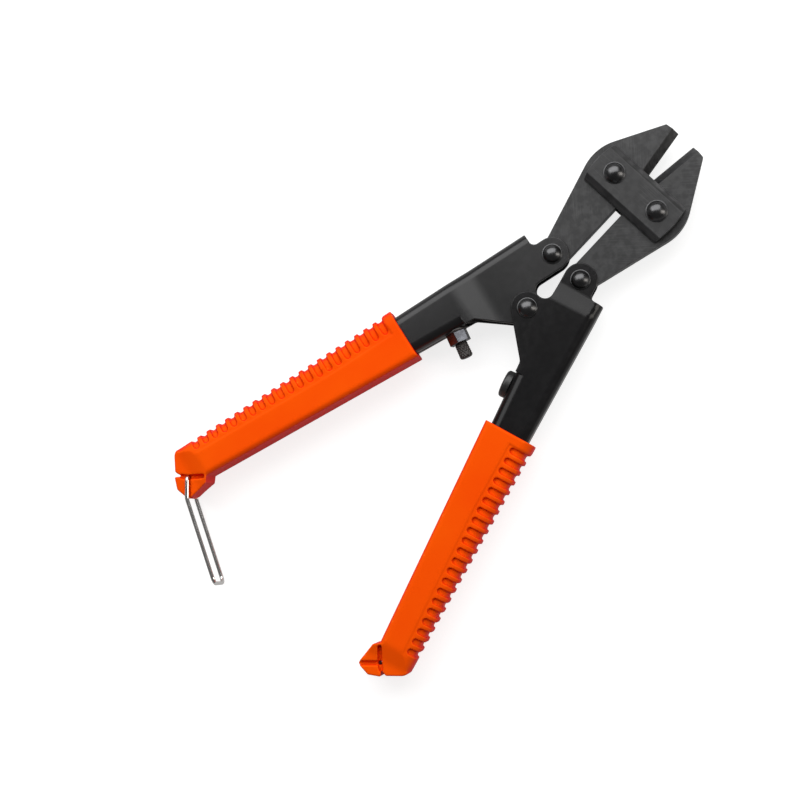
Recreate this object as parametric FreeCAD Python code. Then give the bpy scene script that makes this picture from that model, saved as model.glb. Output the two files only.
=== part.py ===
import FreeCAD, Part
import math
import os

from FreeCAD import Vector

# Small bolt cutters with a compound toggle head, millimetres, +Z up, lying on their back.
# They are designed about the centre pivot: +X runs along the tool to the blade tips, the left
# handle lies on +Y, and the rivets stand along Z. Each half is drawn squeezed shut, then swung
# open about the centre pivot. At the end everything moves so that the origin is the middle of the
# bottom of the tool's box.

# ---- driving dimensions ----------------------------------------------------------------------
# toggle linkage
handle_arm = 20.5            # centre pivot to a handle's jaw pivot
closed_arm_angle = 33.1      # direction of that arm when the tool is shut, degrees
open_angle = 14.3            # each handle's swing from shut to its resting place, degrees
jaw_open_angle = 7.6         # each jaw's swing from shut to its resting place, degrees
link_spacing = 19.6          # between the two link pivots
jaw_arm = 34.74              # a jaw's handle pivot to its link pivot

# clearances
running_gap = 0.05           # round a pin, and between sliding faces
seat_gap = 0.02              # round a pin that is fixed in its hole
open_pivot_gap = 0.2         # round the right link rivet, where the loop is opened
nose_gap = 0.15              # each jaw's nose to the middle line
edge_gap = 0.1               # each cutting edge to the middle line when shut

# jaws
jaw_thickness = 6.0
edge_length = 18.75          # cutting edge
tip_ahead = 24.2             # link pivot to the tip face
tip_height = 5.2             # tip face, across the jaw
edge_bevel = 2.6             # width of each ground bevel
crown_ahead = 3.6            # corner of the jaw's crown from the link pivot, along and across
crown_height = 11.0
crown_radius = 17.0
heel_slope = 8.0             # outer heel edge against the cutting edge, degrees
heel_half_gap = 1.5          # half of the parallel gap between the heels
heel_tail = 4.6              # heel behind the handle pivot
heel_corner = 3.6

# link plates
plate_thickness = 3.0
plate_ahead = 7.5
plate_behind = 8.3
plate_half_length = 17.5
plate_end_radius = 29.0
plate_bevel = 2.1

# rivets
link_shank = 3.0
link_head = 3.8
pivot_shank = 2.5
pivot_head = 3.5
head_rim = 0.45              # thin rim under each dome
rim_step = 0.35              # rim outside the dome

# handles, pressed from sheet
sheet = 1.6
web_y = 22.4                 # outer face of the web
web_front = 12.8
web_bend = 3.5
jaw_lobe = 5.85
centre_lobe = 5.7
notch_radius = 2.0
eye_radius = 3.0             # hollow between the two lobes
rear_edge_angle = 141.0      # edge that runs back from the centre lobe, degrees
shank_start = -19.0
shank_start_y = 6.8
shank_slope = 0.06           # inner side of the shank, rise per mm backwards
shank_end = -116.0
shank_corner = 2.5
lip_start = -21.0            # where the channel closes into a tube
seam = 1.2
left_flare = (-10.0, -18.2)  # left sheets step outwards between these places
left_flare_bend = 18.0       # radius of that step's two bends
right_joggle = (8.0, 11.8)   # right sheets step inwards between these places
right_joggle_bend = 9.0

# return spring and its sleeve
sleeve_radius = 3.6
spring_wire = 1.2
spring_coil = 4.6            # radius of the wire's middle
spring_turns = 3
spring_lean = 24.0           # legs' lean backwards at rest, degrees

# grips
grip_mouth = -40.4
grip_wall = 2.2              # over the shank's flat sides
grip_outer_y = 25.1
grip_inner_wall = 1.9
grip_corner = 5.0
grip_inner_corner = 2.0
mouth_round = 0.8
slot_count = 21
slot_first = -45.4
slot_end = 6.0               # last slot behind the shank's end
slot_width = 2.2
slot_depth = 1.3
rib_line = 17.2              # inner boundary of the ribbed side
rib_line_bend = -70.0
rib_line_slope = 0.048
rib_relief = 0.3
slot_margin = 1.2            # boundary to the slots' round ends
tail_length = 20.1           # behind the shank's end, as are the taper's start and end
tail_taper_behind = (7.5, 13.5)
tail_half = 6.5
groove_width = 1.5
groove_depth = 1.5

# wire bail
bail_hole_behind = 14.6      # behind the shank's end
bail_hole_y = 14.5
bail_wire = 0.7              # radius
bail_leg_z = 7.3
bail_kink = 7.4              # hole to the kink
bail_kink_angle = 237.0
bail_reach = 38.1
bail_angle = 252.7
bail_stub = 5.0
bail_hole_gap = 0.08

# stop screw on the left handle, button on the right
stop_x = -25.2
stop_lean = 8.0              # degrees
stop_seat_depth = 0.55
thread_radius = 2.0
washer_radius = 4.5
washer_thick = 0.8
nut_flats = 7.0
nut_height = 4.0
knurl_radius = 2.4
knurl_length = 5.6
insert_radius = 3.4
insert_neck = 2.8
insert_length = 3.6
insert_gap = 0.35            # under the shank's wall, which the screw leans against
button_x = -26.0
button_radius = 4.85
button_thick = 2.6
button_stem = 2.0

# ---- levels and places worked out from them --------------------------------------------------
jaw_half = jaw_thickness / 2
plate_in = jaw_half + running_gap
plate_out = plate_in + plate_thickness
inner_level = jaw_half + running_gap         # inner face of the sheets that hold a jaw
inner_out = inner_level + sheet
shank_half = inner_out + running_gap + sheet # right sheets at the centre, and both shanks
grip_half = shank_half + grip_wall
link_head_height = grip_half - plate_out     # the heads lie level with the grips' backs
centre_head_height = grip_half - shank_half - running_gap
half_spacing = link_spacing / 2
slot_pitch = (slot_first - (shank_end - slot_end)) / (slot_count - 1)
tail_end = shank_end - tail_length
tail_taper = (shank_end - tail_taper_behind[0], shank_end - tail_taper_behind[1])
bail_hole = (shank_end - bail_hole_behind, bail_hole_y)

arm_closed = math.radians(closed_arm_angle)
arm_rest = math.radians(closed_arm_angle - open_angle)
jaw_pivot_closed = Vector(handle_arm * math.cos(arm_closed), handle_arm * math.sin(arm_closed), 0)
jaw_pivot_rest = Vector(handle_arm * math.cos(arm_rest), handle_arm * math.sin(arm_rest), 0)


def link_x(pivot):
    """Where the link pivot stands for a place of the handle's jaw pivot."""
    rise = half_spacing - pivot.y
    return pivot.x + math.sqrt(jaw_arm ** 2 - rise ** 2)


link_pivot_closed = Vector(link_x(jaw_pivot_closed), half_spacing, 0)
link_pivot_rest = Vector(link_x(jaw_pivot_rest), half_spacing, 0)
heel_pivot = jaw_pivot_closed - link_pivot_closed       # in the jaw's own frame

ORIGIN = Vector(0, 0, 0)
UP = Vector(0, 0, 1)


# ---- drawing helpers -------------------------------------------------------------------------
def direction(angle):
    """Unit vector in the plan at this angle in degrees."""
    return Vector(math.cos(math.radians(angle)), math.sin(math.radians(angle)), 0)


def meet(point_a, dir_a, point_b, dir_b):
    """Crossing of two lines in the plan."""
    cross = dir_a.x * dir_b.y - dir_a.y * dir_b.x
    along = ((point_b.x - point_a.x) * dir_b.y - (point_b.y - point_a.y) * dir_b.x) / cross
    return point_a + dir_a * along


def rounded_edges(corners, closed):
    """Lines through the corners (point, radius), with a tangent arc at each radius."""
    count = len(corners)
    entry = []
    leave = []
    middle = []
    for i, (corner, radius) in enumerate(corners):
        ends = not closed and i in (0, count - 1)
        if radius <= 0 or ends:
            entry.append(corner)
            leave.append(corner)
            middle.append(None)
            continue
        back = (corners[i - 1][0] - corner).normalize()
        ahead = (corners[(i + 1) % count][0] - corner).normalize()
        half_turn = back.getAngle(ahead) / 2
        reach = radius / math.tan(half_turn)
        bisector = (back + ahead).normalize()
        entry.append(corner + back * reach)
        leave.append(corner + ahead * reach)
        middle.append(corner + bisector * (radius / math.sin(half_turn) - radius))
    edges = []
    for i in range(count):
        if middle[i] is not None:
            edges.append(Part.Arc(entry[i], middle[i], leave[i]).toShape())
        if i == count - 1 and not closed:
            break
        following = entry[(i + 1) % count]
        if (following - leave[i]).Length > 1e-6:
            edges.append(Part.LineSegment(leave[i], following).toShape())
    return edges


def plan_face(corners):
    """Flat face inside a closed outline of (point, radius) corners."""
    return Part.Face(Part.Wire(rounded_edges(corners, True)))


def plan_slab(corners, low, high):
    """The outline of (x, y, radius) corners, raised from low to high."""
    face = plan_face([(Vector(x, y, low), radius) for x, y, radius in corners])
    return face.extrude(Vector(0, 0, high - low))


def side_slab(corners, low, high):
    """An outline of (x, z, radius) corners, carried along Y from low to high."""
    face = plan_face([(Vector(x, low, z), radius) for x, z, radius in corners])
    return face.extrude(Vector(0, high - low, 0))


def rod(centre, radius, low, high):
    """Upright cylinder between two levels."""
    return Part.makeCylinder(radius, high - low, Vector(centre.x, centre.y, low))


def turned(shape, centre, angle):
    """Copy swung about an upright axis, degrees."""
    result = shape.copy()
    result.rotate(centre, UP, angle)
    return result


def mirrored(shape):
    """Copy on the other side of the tool's middle plane."""
    return shape.mirror(ORIGIN, Vector(0, 1, 0))


def solid_of(shape):
    """The one solid inside a boolean's result."""
    return max(shape.Solids, key=lambda piece: piece.Volume)


# ---- rivets ----------------------------------------------------------------------------------
def rivet(centre, shank, head, seat, height):
    """Rivet with a domed and rimmed head at each end; seat is the level under a head."""
    body = rod(centre, shank, -seat, seat)
    dome_base = head - rim_step
    dome_height = height - head_rim
    sphere = (dome_base ** 2 + dome_height ** 2) / (2 * dome_height)
    for side in (1, -1):
        low, high = sorted((side * seat, side * (seat + head_rim)))
        rim = rod(centre, head, low, high)
        ball_z = side * (seat + height - sphere)
        ball = Part.makeSphere(sphere, Vector(centre.x, centre.y, ball_z))
        low, high = sorted((side * (seat + head_rim / 2), side * (seat + height + 1)))
        dome = ball.common(rod(centre, dome_base, low, high))
        body = body.fuse([rim, dome])
    return solid_of(body.removeSplitter())


# ---- jaws ------------------------------------------------------------------------------------
def jaw_blank():
    """Left jaw about its link pivot, shut: the cutting edge lies along X, under the pivot."""
    edge_y = -(half_spacing - edge_gap)
    nose = half_spacing - nose_gap
    # outer side: tip corner up to the crown, then back along the heel
    crown = Vector(crown_ahead, crown_height, 0)
    heel_dir = direction(180 + heel_slope)
    tail_dir = direction(90)
    tail_point = heel_pivot - Vector(heel_tail, 0, 0)
    outer_tail = meet(crown, heel_dir, tail_point, tail_dir)
    # inner heel edge: parallel to the tool's axis when the jaw rests open
    gap_dir = direction(-jaw_open_angle)
    gap_depth = half_spacing - heel_half_gap
    gap_foot = direction(-90 - jaw_open_angle) * gap_depth
    inner_tail = meet(gap_foot, gap_dir, tail_point, tail_dir)
    chord = math.sqrt(nose ** 2 - gap_depth ** 2)
    nose_start = gap_foot - gap_dir * chord
    relief_x = tip_ahead - edge_length
    relief_y = edge_y + 0.7

    corners = [
        (tip_ahead, edge_y, 0),
        (tip_ahead, edge_y + tip_height, 0),
        (crown.x, crown.y, crown_radius),
        (outer_tail.x, outer_tail.y, heel_corner),
        (inner_tail.x, inner_tail.y, heel_corner),
        (nose_start.x, nose_start.y, 0),
        (0, relief_y, 0),
        (relief_x, relief_y, 0),
        (relief_x, edge_y, 0),
    ]
    slab = plan_slab(corners, -jaw_half, jaw_half)
    # rolling nose: a disc about the pivot, kept to the strip between heel edge and relief
    disc = rod(ORIGIN, nose, -jaw_half, jaw_half)
    strip = plan_slab([
        (nose_start.x, nose_start.y, 0),
        (nose_start.x, 0, 0),
        (relief_x, 0, 0),
        (relief_x, -nose, 0),
        (relief_x - 3, -nose - 1, 0),
        (nose_start.x, -nose - 1, 0),
    ], -jaw_half, jaw_half)
    blank = slab.fuse(disc.common(strip))
    # two ground bevels that meet at mid-thickness
    bevel_top = edge_y + edge_bevel
    for side in (1, -1):
        start = Vector(relief_x - 4, 0, 0)
        wedge = Part.Face(Part.makePolygon([
            start + Vector(0, edge_y - 1, -side * 1e-3),
            start + Vector(0, edge_y, 0),
            start + Vector(0, bevel_top, side * jaw_half),
            start + Vector(0, bevel_top, side * (jaw_half + 1)),
            start + Vector(0, edge_y - 1, side * (jaw_half + 1)),
            start + Vector(0, edge_y - 1, -side * 1e-3),
        ]))
        blank = blank.cut(wedge.extrude(Vector(edge_length + 8, 0, 0)))
    return solid_of(blank)


def jaw(link_bore):
    """Left jaw at rest, bored for its two rivets."""
    shape = jaw_blank()
    shape = shape.cut(rod(ORIGIN, link_bore, -jaw_half - 1, jaw_half + 1))
    shape = shape.cut(rod(heel_pivot, pivot_shank + running_gap, -jaw_half - 1, jaw_half + 1))
    shape = turned(solid_of(shape), ORIGIN, jaw_open_angle)
    shape.translate(link_pivot_rest)
    return shape


# ---- link plates -----------------------------------------------------------------------------
def link_plate():
    """Front link plate with bevelled long edges and arched ends."""
    ahead = plate_ahead
    behind = -plate_behind
    base = link_pivot_rest.x
    slab = side_slab([
        (base + behind, plate_in, 0),
        (base + ahead, plate_in, 0),
        (base + ahead, plate_in + plate_thickness / 3, 0),
        (base + ahead - plate_bevel, plate_out, 0),
        (base + behind + plate_bevel, plate_out, 0),
        (base + behind, plate_in + plate_thickness / 3, 0),
    ], -plate_half_length, plate_half_length)
    for side in (1, -1):
        middle = base + (ahead + behind) / 2
        centre = Vector(middle, side * (plate_half_length - plate_end_radius), 0)
        slab = slab.common(rod(centre, plate_end_radius, 0, plate_out + 1))
        hole = Vector(base, side * half_spacing, 0)
        slab = slab.cut(rod(hole, link_shank + seat_gap, 0, plate_out + 1))
    return solid_of(slab)


# ---- handles ---------------------------------------------------------------------------------
def shank_y(x, inset=0.0):
    """Inner side of the shank at x."""
    return shank_start_y + shank_slope * (shank_start - x) + inset


def handle_outline():
    """Corners (x, y, radius) of the left handle seen from the front, shut."""
    top = jaw_pivot_closed.y + jaw_lobe
    bottom = jaw_pivot_closed.y - jaw_lobe
    front = jaw_pivot_closed.x + jaw_lobe
    eye_y = bottom - eye_radius
    eye_reach = centre_lobe + eye_radius
    eye_angle = math.degrees(math.asin(eye_y / eye_reach))
    touch = direction(eye_angle) * centre_lobe
    touch_dir = direction(eye_angle - 90)
    eye_corner = meet(Vector(0, bottom, 0), Vector(1, 0, 0), touch, touch_dir)
    rear_dir = direction(rear_edge_angle)
    rear_touch = direction(rear_edge_angle + 90) * centre_lobe
    centre_corner = meet(touch, touch_dir, rear_touch, rear_dir)
    shank_dir = Vector(-1, shank_slope, 0)
    shank_corner_point = meet(rear_touch, rear_dir, Vector(shank_start, shank_start_y, 0), shank_dir)
    return [
        (web_front, web_y, 0),
        (web_front, top, notch_radius),
        (front, top, jaw_lobe),
        (front, bottom, jaw_lobe),
        (eye_corner.x, eye_corner.y, eye_radius),
        (centre_corner.x, centre_corner.y, centre_lobe),
        (shank_corner_point.x, shank_corner_point.y, shank_corner),
        (shank_end, shank_y(shank_end), 0),
        (shank_end, web_y, 0),
    ]


def step_profile(front_half, rear_half, step, bend, back, ahead):
    """Corners of a side view whose half thickness steps smoothly between two places."""
    run = max(step) - min(step)
    rise = abs(rear_half - front_half)
    tilt = math.atan2(rise, run)
    bend = min(bend, 0.49 * math.hypot(run, rise) / math.tan(tilt / 2))
    upper = [
        (ahead, front_half, 0),
        (max(step), front_half, bend),
        (min(step), rear_half, bend),
        (back, rear_half, 0),
    ]
    lower = [(x, -z, radius) for x, z, radius in reversed(upper)]
    return upper + lower


def soft_long_edges(shape, y_level, radius):
    """Round the long edges that lie at this y."""
    chosen = []
    for edge in shape.Edges:
        levels = [vertex.Y for vertex in edge.Vertexes]
        flat = all(abs(level - y_level) < 1e-4 for level in levels)
        ends = [vertex.Point for vertex in edge.Vertexes]
        upright = len(ends) == 2 and (ends[1] - ends[0]).normalize().isEqual(UP, 1e-3)
        hanging = len(ends) == 2 and (ends[0] - ends[1]).normalize().isEqual(UP, 1e-3)
        if flat and not upright and not hanging:
            chosen.append(edge)
    return shape.makeFillet(radius, chosen)


def shank_bar(gap, wall, back, ahead):
    """Solid of the shank's tube, grown by gap or shrunk by wall."""
    grow = gap - wall
    half = shank_half + grow
    low = -grow
    corners = [
        (ahead, shank_y(ahead, low), 0),
        (ahead, web_y + grow, 0),
        (back, web_y + grow, 0),
        (back, shank_y(back, low), 0),
    ]
    bar = plan_slab(corners, -half, half)
    long_edges = []
    for edge in bar.Edges:
        span = edge.Vertexes[1].Point - edge.Vertexes[0].Point
        if abs(span.x) > 5:
            long_edges.append(edge)
    return bar.makeFillet(max(web_bend + grow, 0.5), long_edges)


def handle(front_half, step, bend, bores):
    """Pressed handle, shut, left side up: a channel in front and a seamed tube behind."""
    # outer shape: open channel ahead of the lips, rounded tube behind them
    channel = plan_slab(handle_outline(), -grip_half, grip_half)
    ahead = web_front + 20
    side_view = side_slab(step_profile(front_half[0], front_half[1], step, bend, shank_end, ahead),
                          -30, web_y)
    side_view = soft_long_edges(side_view, web_y, web_bend)
    outer = channel.common(side_view)
    behind = Part.makeBox(200, 200, 60, Vector(lip_start - 200, -100, -30))
    outer = outer.cut(behind)
    outer = outer.fuse(shank_bar(0, 0, shank_end, lip_start))
    # hollow: the same side view one sheet thickness in, open towards the other handle
    hollow = side_slab(step_profile(front_half[0] - sheet, front_half[1] - sheet, step, bend,
                                    lip_start, ahead), -30, web_y - sheet)
    hollow = soft_long_edges(hollow, web_y - sheet, web_bend - sheet)
    tube_hollow = shank_bar(0, sheet, shank_end - 1, lip_start + 1)
    slit = Part.makeBox(lip_start + 1 - (shank_end - 1), web_y - sheet * 3, seam,
                        Vector(shank_end - 1, 0, -seam / 2))
    shape = outer.cut([hollow, tube_hollow, slit])
    for centre, radius in bores:
        shape = shape.cut(rod(centre, radius, -grip_half, grip_half))
    return solid_of(shape.removeSplitter())


# ---- stop screw and button -------------------------------------------------------------------
stop_seat = Vector(stop_x, shank_y(stop_x), 0)
stop_axis = direction(270 - stop_lean)
button_seat = Vector(button_x, shank_y(button_x), 0)
button_axis = Vector(-shank_slope, -1, 0).normalize()


def stop_rod(radius, start, end):
    """Cylinder on the stop screw's axis, distances from the shank's face."""
    return Part.makeCylinder(radius, end - start, stop_seat + stop_axis * start, stop_axis)


def button_rod(radius, start, end):
    """Cylinder on the button's axis, distances from the shank's face."""
    return Part.makeCylinder(radius, end - start, button_seat + button_axis * start, button_axis)


washer_start = -stop_seat_depth
nut_start = washer_start + washer_thick
knurl_start = nut_start + nut_height
insert_start = -sheet - insert_gap


def with_stop_seat(shape):
    """Spot face and hole for the stop screw's insert."""
    shape = shape.cut(stop_rod(washer_radius + running_gap, washer_start, 3))
    return solid_of(shape.cut(stop_rod(insert_neck + seat_gap, -2 * sheet, 0)))


def stop_insert():
    """Threaded bush held inside the shank, with a neck that fills the wall."""
    flange = stop_rod(insert_radius, insert_start - insert_length, insert_start)
    neck = stop_rod(insert_neck, insert_start - insert_length, washer_start)
    bore = stop_rod(thread_radius + seat_gap, insert_start - insert_length - 1, 0)
    return solid_of(flange.fuse(neck).cut(bore))


def stop_washer():
    """Plain washer in the spot face."""
    disc = stop_rod(washer_radius, washer_start, nut_start)
    return solid_of(disc.cut(stop_rod(thread_radius + running_gap, -2, 6)))


def lock_nut():
    """Hexagon nut on the stop screw, with its corners eased."""
    across = nut_flats / math.sqrt(3)
    corners = []
    for i in range(6):
        corner = direction(60 * i + 30) * across
        corners.append(Vector(corner.x, corner.y, 0))
    hexagon = Part.Face(Part.makePolygon(corners + corners[:1])).extrude(Vector(0, 0, nut_height))
    ease = Part.makeCone(across + nut_height * 1.7 - 0.15, across - 0.15, nut_height)
    ease_low = Part.makeCone(across - 0.15, across + nut_height * 1.7 - 0.15, nut_height)
    nut = hexagon.common(ease).common(ease_low)
    nut = nut.cut(Part.makeCylinder(thread_radius + seat_gap, nut_height + 2, Vector(0, 0, -1)))
    turn = FreeCAD.Rotation(UP, stop_axis)
    nut.Placement = FreeCAD.Placement(stop_seat + stop_axis * nut_start, turn)
    return solid_of(nut)


def stop_screw():
    """Adjusting screw: a thread through the nut and a knurled head with a rounded end."""
    thread = stop_rod(thread_radius, insert_start - insert_length + 0.4, knurl_start + 1)
    head = stop_rod(knurl_radius, knurl_start, knurl_start + knurl_length)
    rims = [edge for edge in head.Edges if len(edge.Vertexes) == 1]
    head = head.makeFillet(0.6, rims)
    return solid_of(thread.fuse(head))


def stop_button():
    """Rounded button that the stop screw meets, riveted into the right shank."""
    disc = button_rod(button_radius, 0, button_thick)
    top = [edge for edge in disc.Edges
           if len(edge.Vertexes) == 1
           and abs((edge.Vertexes[0].Point - button_seat).dot(button_axis) - button_thick) < 1e-3]
    disc = disc.makeFillet(button_thick * 0.4, top)
    stem = button_rod(button_stem, -sheet - 1.0, 0.5)
    clinch = button_rod(button_stem + 0.9, -sheet - 1.6, -sheet - running_gap)
    return solid_of(disc.fuse([stem, clinch]))


# ---- spring and sleeve -----------------------------------------------------------------------
def round_wire(path, radius):
    """Round bar along a path of edges."""
    first = path.Edges[0]
    start = first.valueAt(first.FirstParameter)
    heading = first.tangentAt(first.FirstParameter)
    section = Part.Wire(Part.makeCircle(radius, start, heading))
    return path.makePipeShell([section], True, True)


def return_spring():
    """Torsion spring: a close coil round the sleeve, with a straight leg to each web."""
    radius = spring_wire / 2
    pitch = spring_wire + 0.15
    sweep = spring_turns + 2 * spring_lean / 360
    height = pitch * sweep
    coil_path = Part.makeHelix(pitch, height, spring_coil)
    coil_path.rotate(ORIGIN, UP, -spring_lean)
    coil_path.translate(Vector(0, 0, -height / 2))
    spring = round_wire(Part.Wire(coil_path.Edges), radius)
    for side in (1, -1):
        start = direction(side * spring_lean) * spring_coil + Vector(0, 0, side * height / 2)
        heading = direction(side * (90 + spring_lean))
        web_normal = direction(side * (90 - open_angle))
        room = web_y - sheet - running_gap - radius - start.dot(web_normal)
        leg = Part.makeCylinder(radius, room / heading.dot(web_normal), start, heading)
        knuckle = Part.makeSphere(radius, start)
        spring = spring.fuse([knuckle, leg])
    return solid_of(spring)


def centre_sleeve():
    """Tube that keeps the left sheets apart and carries the spring's coil."""
    outside = rod(ORIGIN, sleeve_radius, -jaw_half, jaw_half)
    return solid_of(outside.cut(rod(ORIGIN, pivot_shank + seat_gap, -jaw_half - 1, jaw_half + 1)))


# ---- grips -----------------------------------------------------------------------------------
def grip_inner_y(x):
    """Inner side of the grip at x."""
    return shank_y(x, -grip_inner_wall)


def rib_line_y(x):
    """Boundary between a grip's smooth face and its ribbed side."""
    return rib_line + rib_line_slope * max(rib_line_bend - x, 0)


def across_slab(corners, start, run):
    """An outline of (y, z, radius) corners at x = start, carried along the vector run."""
    face = plan_face([(Vector(start, y, z), radius) for y, z, radius in corners])
    return face.extrude(run)


def grip_core(depth):
    """Inside of the grip's rounded outer side, this far under its skin."""
    level = grip_half - depth
    side = grip_outer_y - depth
    corners = [(-30, -level, 0), (side, -level, grip_corner - depth),
               (side, level, grip_corner - depth), (-30, level, 0)]
    return across_slab(corners, grip_mouth + 1, Vector(tail_end - grip_mouth - 2, 0, 0))


def groove(start, end, width, low, high):
    """Straight groove with round ends between two places in the plan."""
    along = (end - start).normalize()
    side = Vector(-along.y, along.x, 0) * (width / 2)
    cap = along * (width / 2)
    corners = []
    for corner in (start - cap - side, end + cap - side, end + cap + side, start - cap + side):
        corners.append((corner.x, corner.y, width / 2))
    return plan_slab(corners, low, high)


def grip():
    """Left grip, shut: a moulded sleeve with ribs on its outer side and a hooked tail."""
    hole = Vector(bail_hole[0], bail_hole[1], 0)
    nose_root_x = tail_taper[0] - 1.1
    vertex = Vector(nose_root_x, grip_inner_y(nose_root_x), 0)
    nose_tip = hole + Vector(-3.8, -6.7, 0)
    notch = hole + Vector(-1.7, 1.4, 0)
    body_end = hole + Vector(-2.9, 3.9, 0)
    corners = [
        (grip_mouth, grip_inner_y(grip_mouth), 0),
        (vertex.x, vertex.y, 0),
        (vertex.x - 1.4, vertex.y - 1.9, 0.6),
        (nose_tip.x, nose_tip.y, 0.8),
        (tail_end, hole.y - 1.7, 1.0),
        (hole.x - 4.0, hole.y + 2.5, 0.3),
        (notch.x, notch.y, 0.3),
        (body_end.x, body_end.y, 0.6),
        (hole.x + 0.8, grip_outer_y, 4.0),
        (grip_mouth, grip_outer_y, 0),
    ]
    body = plan_slab(corners, -grip_half, grip_half)
    # side view: eased mouth, and a tail that thins towards its end
    upper = [(grip_mouth, grip_half, mouth_round), (tail_taper[0], grip_half, 8),
             (tail_taper[1], tail_half, 8), (tail_end - 1, tail_half, 0)]
    lower = [(x, -z, radius) for x, z, radius in reversed(upper)]
    body = body.common(side_slab(upper + lower, 0, grip_outer_y + 1))
    # rounded outer side, and rounded inner side ahead of the tail
    body = body.common(grip_core(0))
    inner_y = grip_inner_y(grip_mouth + 1)
    inner_corners = [(inner_y, -grip_half, grip_inner_corner), (60, -grip_half, 0),
                     (60, grip_half, 0), (inner_y, grip_half, grip_inner_corner)]
    length = grip_mouth + 1 - vertex.x
    run = Vector(-length, shank_slope * length, 0)
    soft = across_slab(inner_corners, grip_mouth + 1, run)
    tail_box = Part.makeBox(20, 60, 60, Vector(vertex.x - 20, -10, -30))
    body = body.common(soft.fuse(tail_box))
    # ribbed side: slightly sunk, with a row of round-ended slots
    zone = plan_slab([
        (grip_mouth - 3.2, rib_line_y(grip_mouth), 0),
        (rib_line_bend, rib_line_y(rib_line_bend), 0),
        (tail_taper[0], rib_line_y(tail_taper[0]), 0),
        (tail_taper[1] + 0.5, rib_line_y(tail_taper[1]) + 2.2, 0),
        (tail_taper[1] + 0.5, grip_outer_y + 1, 0),
        (grip_mouth - 3.2, grip_outer_y + 1, 0),
    ], -grip_half - 1, grip_half + 1)
    body = body.cut(zone.cut(grip_core(rib_relief)))
    slots = []
    for i in range(slot_count):
        x = slot_first - i * slot_pitch
        inner_end = Vector(x, rib_line_y(x) + slot_margin + slot_width / 2, 0)
        outer_end = Vector(x, grip_outer_y + slot_width, 0)
        slots.append(groove(inner_end, outer_end, slot_width, -grip_half - 1, grip_half + 1))
    body = body.cut(Part.makeCompound(slots).cut(grip_core(slot_depth)))
    # socket for the shank
    body = body.cut(shank_bar(running_gap, 0, shank_end - 0.3, grip_mouth + 2))
    # tail: hole for the bail, and a groove from it to the nose and to the inner corner
    inner_stop = vertex + (hole - vertex).normalize() * 1.4
    for side in (1, -1):
        low, high = sorted((side * (tail_half - groove_depth), side * (grip_half + 1)))
        body = body.cut(groove(hole, nose_tip * 2 - hole, groove_width, low, high))
        body = body.cut(groove(hole, inner_stop, groove_width, low, high))
        body = body.cut(groove(hole, notch, groove_width, low, high))
    body = body.cut(rod(hole, bail_wire + bail_hole_gap, -grip_half, grip_half))
    return solid_of(body)


# ---- bail ------------------------------------------------------------------------------------
def wire_bail():
    """Bent wire loop that hangs in the left grip's tail, shut position of the handles."""
    hole = Vector(bail_hole[0], bail_hole[1], 0)
    kink = hole + direction(bail_kink_angle) * bail_kink
    corner = hole + direction(bail_angle) * bail_reach
    top = Vector(0, 0, bail_leg_z)
    front = [
        (hole + Vector(0, 0, bail_leg_z - bail_stub), 0),
        (hole + top, 1.2),
        (kink + top, 5.0),
        (corner + top, 2.4),
    ]
    back = [(Vector(point.x, point.y, -point.z), radius) for point, radius in reversed(front)]
    path = Part.Wire(rounded_edges(front + back, False))
    return round_wire(path, bail_wire)


# ---- assembly --------------------------------------------------------------------------------
def on_left(shape):
    """Swing a piece of the left handle from shut to rest."""
    return turned(shape, ORIGIN, -open_angle)


def on_right(shape):
    """Mirror a piece to the right handle and swing it from shut to rest."""
    return turned(mirrored(shape), ORIGIN, open_angle)


fixed_bore = pivot_shank + seat_gap
free_bore = pivot_shank + running_gap
left_handle = handle((inner_out, shank_half), left_flare, left_flare_bend,
                     [(ORIGIN, fixed_bore), (jaw_pivot_closed, fixed_bore)])
right_handle = handle((inner_out, shank_half), right_joggle, right_joggle_bend,
                      [(ORIGIN, free_bore), (jaw_pivot_closed, fixed_bore)])
button_hole = button_rod(button_stem + seat_gap, -2 * sheet, 1)
right_handle = solid_of(right_handle.cut(button_hole))
left_link = link_pivot_rest
right_link = Vector(left_link.x, -left_link.y, 0)
front_plate = link_plate()
handle_rivet = rivet(jaw_pivot_closed, pivot_shank, pivot_head, inner_out, link_head_height)
left_grip = grip()

nodes = {
    "left_jaw": jaw(link_shank + running_gap),
    "right_jaw": mirrored(jaw(link_shank + open_pivot_gap)),
    "front_link_plate": front_plate,
    "back_link_plate": front_plate.mirror(ORIGIN, UP),
    "left_link_rivet": rivet(left_link, link_shank, link_head, plate_out, link_head_height),
    "right_link_rivet": rivet(right_link, link_shank, link_head, plate_out, link_head_height),
    "left_handle": on_left(with_stop_seat(left_handle)),
    "right_handle": on_right(right_handle),
    "left_handle_rivet": on_left(handle_rivet),
    "right_handle_rivet": on_right(handle_rivet),
    "centre_rivet": rivet(ORIGIN, pivot_shank, pivot_head, shank_half + running_gap,
                          centre_head_height),
    "centre_sleeve": centre_sleeve(),
    "return_spring": return_spring(),
    "left_grip": on_left(left_grip),
    "right_grip": on_right(left_grip),
    "stop_insert": on_left(stop_insert()),
    "stop_washer": on_left(stop_washer()),
    "lock_nut": on_left(lock_nut()),
    "stop_screw": on_left(stop_screw()),
    "stop_button": on_right(stop_button()),
    "wire_bail": on_left(wire_bail()),
}

# the origin goes to the middle of the bottom of the box round every piece
whole = Part.makeCompound(list(nodes.values())).optimalBoundingBox(False, False)
shift = Vector(-(whole.XMin + whole.XMax) / 2, -(whole.YMin + whole.YMax) / 2, grip_half)

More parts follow.
